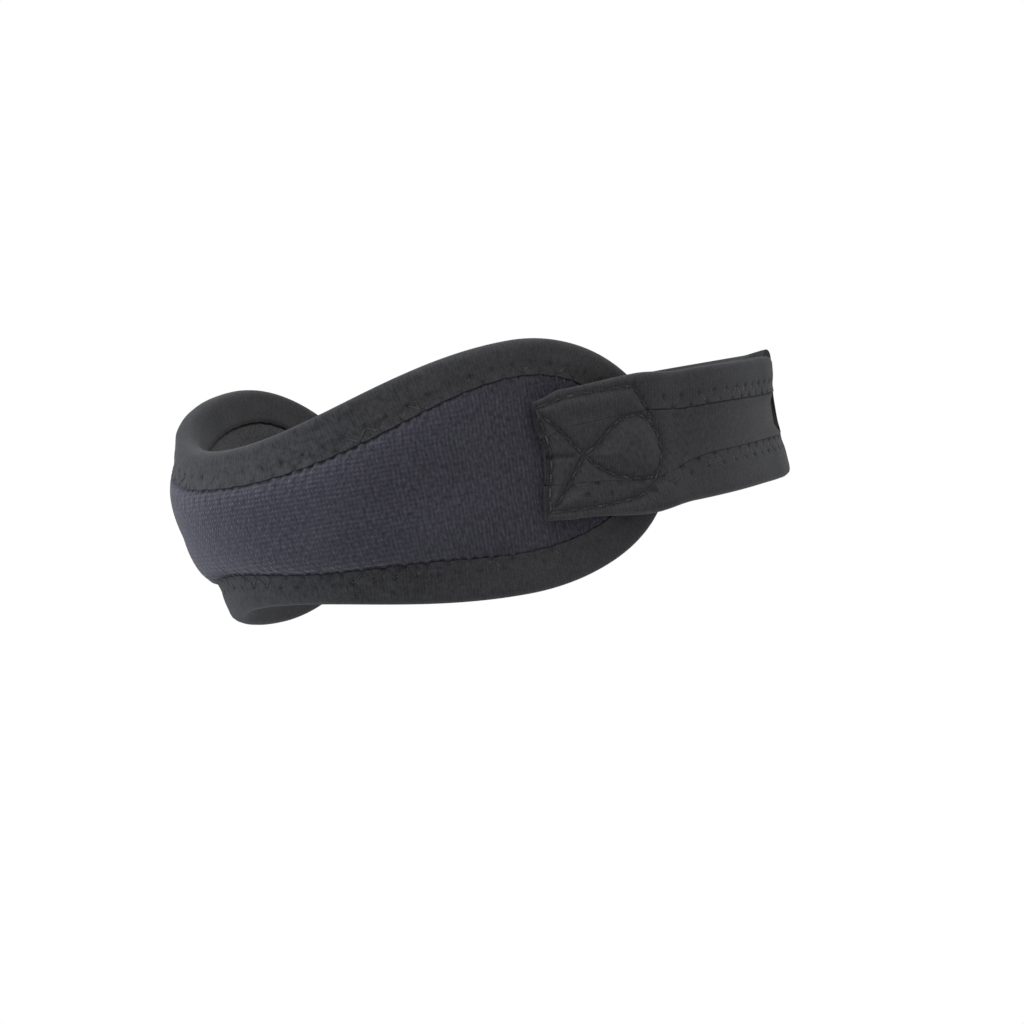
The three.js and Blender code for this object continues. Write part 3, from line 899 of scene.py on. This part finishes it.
def make_patch():
    lengths = np.linspace(PATCH_START, PATCH_END, 120)[:, None]
    top, bottom, _ = eased(STRAPS["left"], lengths)
    middle = (top - STRAP_TOP_FACE + bottom + STRAP_BOTTOM_FACE) / 2
    low = STRAP_OUTER_LEVEL + GAP
    shares = np.linspace(-0.5, 0.5, 26)
    up = np.concatenate([middle + PATCH_HEIGHT * shares, middle + PATCH_HEIGHT * shares[::-1]], axis=1)
    along = lengths + 0 * up
    nap = PATCH_NAP * soft_noise(along, up, 0.5, seed=5.5)
    out = np.repeat([low, low + PATCH_THICK], len(shares)) + nap
    return add_grid("hook_patch", on_strap("left", along, up, out), closed_cloth(along, up))


WHITE = (1.0, 1.0, 1.0)


class Shader:
    """The nodes of a material or a world, with short calls for them."""

    def __init__(self, name, owners=bpy.data.materials, surface="Principled BSDF"):
        self.owner = owners.new(name)
        self.owner.use_nodes = True
        self.tree = self.owner.node_tree
        self.surface = self.tree.nodes[surface]

    def node(self, kind, **settings):
        made = self.tree.nodes.new(kind)
        for key, value in settings.items():
            setattr(made, key, value)
        return made

    def feed(self, value, socket):
        if isinstance(value, bpy.types.NodeSocket):
            self.tree.links.new(value, socket)
        else:
            socket.default_value = value

    def fill(self, node, values):
        """Feeds a node's inputs by name."""
        for name, value in values.items():
            self.feed(value, node.inputs[name])

    def math(self, operation, *values):
        made = self.node("ShaderNodeMath", operation=operation)
        for value, socket in zip(values, made.inputs):
            self.feed(value, socket)
        return made.outputs[0]

    def cloth(self):
        """Flat cloth coordinates in millimetres."""
        flat = self.node("ShaderNodeUVMap", uv_map="cloth")
        parts = self.node("ShaderNodeSeparateXYZ")
        self.feed(flat.outputs[0], parts.inputs[0])
        return [self.math("MULTIPLY", parts.outputs[axis], 1000.0) for axis in (0, 1)]

    def noise(self, along, across, along_size, across_size, detail=2.0):
        place = self.node("ShaderNodeCombineXYZ")
        self.feed(self.math("DIVIDE", along, along_size), place.inputs[0])
        self.feed(self.math("DIVIDE", across, across_size), place.inputs[1])
        return self.noise_at(place.outputs[0], 1.0, detail)

    def place_noise(self, scale, detail):
        """Noise by the place on the piece, in metres."""
        return self.noise_at(self.node("ShaderNodeTexCoord").outputs["Object"], scale, detail)

    def noise_at(self, place, scale, detail):
        made = self.node("ShaderNodeTexNoise")
        self.fill(made, {"Vector": place, "Scale": scale, "Detail": detail})
        return made.outputs["Fac"]

    def shade(self):
        """The piece's shade attribute: painted shade and darker tone below 0, wear and lighter specks above.
        """
        return self.node("ShaderNodeAttribute", attribute_name="shade").outputs["Fac"]

    def blend(self, base, *parts):
        """A base with parts added, each a value and its weight."""
        for value, weight in parts:
            base = self.math("MULTIPLY_ADD", value, weight, base)
        return base

    def fade(self, value, low, high, kind="SMOOTHSTEP"):
        """A step from 0 at a low value to 1 at a high one."""
        made = self.node("ShaderNodeMapRange", interpolation_type=kind)
        self.fill(made, {"Value": value, "From Min": low, "From Max": high})
        return made.outputs[0]

    def wave(self, value):
        """A wave from 0 to 1, highest at whole numbers."""
        return self.blend(0.5, (self.math("COSINE", self.math("MULTIPLY", value, 2 * math.pi)), 0.5))

    def knit(self, along, across, wale, course):
        """A jersey's wales and its slanted rows, of yarn that thickens and thins."""
        drift = self.noise(along, across, 4.0, 4.0, 3.0)
        place = self.blend(self.math("DIVIDE", along, wale), (drift, 1.6))
        off_wale = self.math("ABSOLUTE", self.math("SUBTRACT", self.math("FRACT", place), 0.5))
        level = self.blend(self.math("DIVIDE", across, course), (drift, -0.6), (off_wale, -0.5))
        wale_yarn = self.noise(self.math("ROUND", place), across, 0.29, 1.2)
        row_yarn = self.noise(along, self.math("ROUND", level), 0.9, 0.29)
        wales = self.math("MULTIPLY", self.wave(place), self.blend(-0.9, (wale_yarn, 3.0)))
        rows = self.math("MULTIPLY", self.wave(level), self.blend(-0.9, (row_yarn, 3.0)))
        return wales, rows

    def ramp(self, value, stops):
        made = self.node("ShaderNodeValToRGB")
        self.feed(value, made.inputs[0])
        elements = made.color_ramp.elements
        while len(elements) < len(stops):
            elements.new(0.5)
        for element, (place, colour) in zip(elements, stops):
            element.position = place
            element.color = (*colour, 1.0)
        return made.outputs[0]

    def finish(self, colour, height, strength, distance, roughness, sheen, sheen_tint=WHITE):
        bump = self.node("ShaderNodeBump")
        self.fill(bump, {"Strength": strength, "Distance": distance, "Height": height})
        self.fill(self.surface, {
            "Base Color": colour, "Roughness": roughness, "Specular IOR Level": 0.12, "Sheen Weight": sheen,
            "Sheen Roughness": 0.45, "Sheen Tint": (*sheen_tint, 1.0), "Normal": bump.outputs[0],
        })
        return self.owner


def jersey(name, wale, course, black, dark, light, sheen, sheen_tint, strength):
    """Knitted cloth: rows show where it is stretched in front, and wales where it is slack; their tone is
    partly the knit's own pattern and partly painted shade of its ridges.
    """
    shader = Shader(name)
    along, up = shader.cloth()
    wales, rows = shader.knit(along, up, wale, course)
    fibre = shader.noise(along, up, 0.65, 0.95, 2.5)
    cloud = shader.math("SUBTRACT", shader.noise(along, up, 14.0, 14.0), 0.5)
    slack = shader.fade(shader.math("ABSOLUTE", along), 15.0, 55.0)
    wale_height, row_height = shader.blend(0.2, (slack, 0.3)), shader.blend(1.0, (slack, -0.75))
    # The wales' and rows' tone is partly the knit's own pattern and partly painted shade of its ridges.
    wale_tone, row_tone = shader.blend(0.1, (slack, 0.1)), shader.blend(0.2, (slack, -0.2))
    height = shader.blend(0.0, (wales, wale_height), (rows, row_height))
    tone = shader.blend(0.1, (fibre, 0.6), (wales, wale_tone), (rows, row_tone), (cloud, 0.16))
    # The shade attribute carries painted shade from the sewn grooves and the sewn end.
    tone = shader.blend(tone, (shader.shade(), 0.4))
    colour = shader.ramp(tone, [(0.0, black), (0.2, dark), (0.82, light)])
    roughness = shader.blend(0.75, (fibre, 0.2))
    return shader.finish(colour, height, strength, 0.0002, roughness, sheen, sheen_tint)


def ribbed_tape(name, black, dark, light):
    """Ribbed elastic tape, worn pale on its folds, with painted shade in its needle holes, its sewn grooves
    and ends, and on the straps' upper folds.
    """
    shader = Shader(name)
    along, across = shader.cloth()
    rib = shader.wave(shader.math("DIVIDE", along, RIB_PITCH))
    loops = shader.wave(shader.blend(shader.math("DIVIDE", across, 0.5), (rib, 0.35)))
    fuzz = shader.noise(along, across, 0.5, 0.5, 3.0)
    fleck = shader.noise(along, across, 0.8, 1.4, 1.0)
    cloud = shader.math("SUBTRACT", shader.noise(along, across, 7.0, 5.0), 0.5)
    shade = shader.shade()
    # Below 0 the shade is painted shade, with a darker band on the pad and dark nap specks; above 0 it is
    # wear and light nap specks.
    worn, darkening = shader.math("MAXIMUM", shade, 0.0), shader.math("MINIMUM", shade, 0.0)
    height = shader.blend(0.0, (rib, 0.4), (loops, 0.25), (fuzz, 0.5), (fleck, 0.9))
    tone = shader.blend(0.0, (rib, 0.08), (fuzz, 0.5), (fleck, 0.3), (loops, 0.06), (cloud, 0.25))
    tone = shader.blend(tone, (worn, 0.3), (darkening, 0.42))
    colour = shader.ramp(tone, [(0.0, black), (0.15, dark), (0.85, light)])
    roughness = shader.blend(0.75, (fuzz, 0.2))
    return shader.finish(colour, height, 0.45, 0.00014, roughness, sheen=0.06, sheen_tint=(0.9, 0.93, 1.0))


def thread_material():
    """Twisted black thread with lighter, frayed flecks."""
    shader = Shader("black_thread")
    along, across = shader.cloth()
    turns = shader.math("ADD", shader.math("DIVIDE", along, 0.5), shader.math("DIVIDE", across, 1.07))
    twist = shader.wave(turns)
    frayed = shader.fade(shader.place_noise(700.0, 1.0), 0.52, 0.66)
    tone = shader.blend(0.0, (twist, 0.4), (frayed, 0.6))
    stops = [(0.0, (0.016, 0.016, 0.017)), (0.4, (0.036, 0.036, 0.038)), (1.0, (0.054, 0.054, 0.056))]
    colour = shader.ramp(tone, stops)
    roughness = shader.blend(0.55, (twist, -0.15))
    return shader.finish(colour, twist, 0.6, 0.00008, roughness, sheen=0.1)


def hook_material():
    """The black pile of hook and loop."""
    shader = Shader("hook_and_loop")
    along, across = shader.cloth()
    hooks = shader.noise(along, across, 0.3, 0.3, 2.0)
    colour = shader.ramp(hooks, [(0.3, (0.008, 0.008, 0.008)), (0.75, (0.045, 0.045, 0.047))])
    roughness = shader.blend(0.85, (hooks, 0.1))
    return shader.finish(colour, hooks, 0.8, 0.0003, roughness, sheen=0.2)


def floor_material():
    """A pale matt floor with a faint grain."""
    shader = Shader("pale_floor")
    grain = shader.place_noise(40.0, 2.0)
    colour = shader.ramp(grain, [(0.0, (0.58, 0.58, 0.59)), (1.0, (0.64, 0.64, 0.64))])
    shader.fill(shader.surface, {"Base Color": colour, "Roughness": 0.9, "Specular IOR Level": 0.1})
    return shader.owner


def dress(piece, slot, *materials, replaced=()):
    """Gives a piece its materials and its place on the part."""
    for material in materials:
        piece.data.materials.append(material)
    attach(piece, "root")
    if replaced:
        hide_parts(*replaced)
    return piece


pad_jersey = jersey(
    "pad_jersey", wale=0.71, course=0.86, black=(0.004, 0.004, 0.006), dark=(0.007, 0.007, 0.0105),
    light=(0.0595, 0.0567, 0.0728), sheen=0.16, sheen_tint=(0.85, 0.88, 1.0), strength=0.9
)
lining = jersey(
    "pad_lining", wale=0.5, course=0.45, black=(0.004, 0.004, 0.004), dark=(0.010, 0.010, 0.011),
    light=(0.05, 0.05, 0.053), sheen=0.1, sheen_tint=WHITE, strength=0.6
)
strap_jersey = jersey(
    "strap_jersey", wale=0.45, course=0.42, black=(0.004, 0.004, 0.004), dark=(0.015, 0.015, 0.016),
    light=(0.0475, 0.0475, 0.0495), sheen=0.05, sheen_tint=(0.95, 0.95, 1.0), strength=0.4
)
tape = ribbed_tape("binding_tape", (0.003, 0.003, 0.003), (0.012, 0.012, 0.013), (0.05, 0.05, 0.052))
thread = thread_material()

pad = dress(make_pad(), "pad_jersey", pad_jersey, lining, replaced=["front_pad"])
dress(make_pad_tape(), "binding_tape", tape, replaced=["pad_binding"])
dress(make_pad_thread(), "binding_tape", thread)
for strap in STRAPS:
    dress(make_strap_panel(strap), "strap_jersey", strap_jersey, replaced=[f"{strap}_strap"])
    dress(make_strap_tape(strap, True), "binding_tape", tape, replaced=[f"{strap}_strap_top_binding"])
    dress(make_strap_tape(strap, False), "binding_tape", tape, replaced=[f"{strap}_strap_bottom_binding"])
    dress(make_strap_threads(strap), "binding_tape", thread)
dress(make_patch(), "hook_and_loop", hook_material(), replaced=["closure_patch"])

# The floor, as far below as where the strap is worn, the light and the camera.
bpy.ops.mesh.primitive_circle_add(vertices=96, radius=1.4, fill_type="NGON", location=(0, 0, -0.42))
floor = bpy.context.object
floor.name = "floor"
floor.data.materials.append(floor_material())

scene = bpy.context.scene
scene.view_settings.view_transform = "Standard"
# White all round, and greyer below, where a floor would be in shade.
surround = Shader("studio", bpy.data.worlds, "Background")
scene.world = surround.owner
direction = surround.node("ShaderNodeSeparateXYZ")
surround.feed(surround.node("ShaderNodeTexCoord").outputs["Generated"], direction.inputs[0])
height = surround.fade(direction.outputs["Z"], -0.5, -0.22, kind="LINEAR")
grey_to_white = surround.ramp(height, [(0.0, (0.45, 0.45, 0.45)), (1.0, WHITE)])
surround.fill(surround.surface, {"Color": grey_to_white, "Strength": 1.0})


def way_to(azimuth, elevation):
    """The direction at an azimuth from the front and an elevation, in degrees."""
    turn, lift = math.radians(azimuth), math.radians(elevation)
    return Vector((math.sin(turn) * math.cos(lift), -math.cos(turn) * math.cos(lift), math.sin(lift)))


def add_light(name, way, distance, size, power, colour):
    """A soft square light that faces the object from a direction."""
    light = bpy.data.lights.new(name, "AREA")
    light.size = size
    light.energy = power
    light.color = colour
    lamp = add_object(name, light)
    lamp.location = way * distance
    lamp.rotation_euler = way.to_track_quat("Z", "Y").to_euler()
    lamp.visible_camera = False


add_light("key", way_to(-25, 30), distance=1.2, size=0.8, power=8.0, colour=(0.9, 0.96, 1.15))
add_light("top", way_to(60, 70), distance=1.3, size=1.0, power=10.0, colour=WHITE)

CAMERA_AZIMUTH = 55.7
CAMERA_ELEVATION = 1.6
CAMERA_ROLL = 10.1
CAMERA_DISTANCE = 1.0
SENSOR_WIDTH = 36
PIXELS_PER_MM = 5.05
ORIGIN_PIXEL = (491.2, 466.0)
IMAGE_SIDE = 1024

turn, roll = math.radians(CAMERA_AZIMUTH), math.radians(CAMERA_ROLL)
back = way_to(CAMERA_AZIMUTH, CAMERA_ELEVATION)
level_right = Vector((math.cos(turn), math.sin(turn), 0))
level_up = back.cross(level_right)
right = level_right * math.cos(roll) - level_up * math.sin(roll)
up = level_up * math.cos(roll) + level_right * math.sin(roll)
aim_right = (IMAGE_SIDE / 2 - ORIGIN_PIXEL[0]) / PIXELS_PER_MM * MM
aim_up = (ORIGIN_PIXEL[1] - IMAGE_SIDE / 2) / PIXELS_PER_MM * MM
camera_data = bpy.data.cameras.new("camera")
camera_data.sensor_width = SENSOR_WIDTH
camera_data.lens = SENSOR_WIDTH * CAMERA_DISTANCE * PIXELS_PER_MM / (IMAGE_SIDE * MM)
camera = add_object("camera", camera_data)
place = right * aim_right + up * aim_up + back * CAMERA_DISTANCE
camera.matrix_world = Matrix.Translation(place) @ Matrix((right, up, back)).transposed().to_4x4()
scene.camera = camera
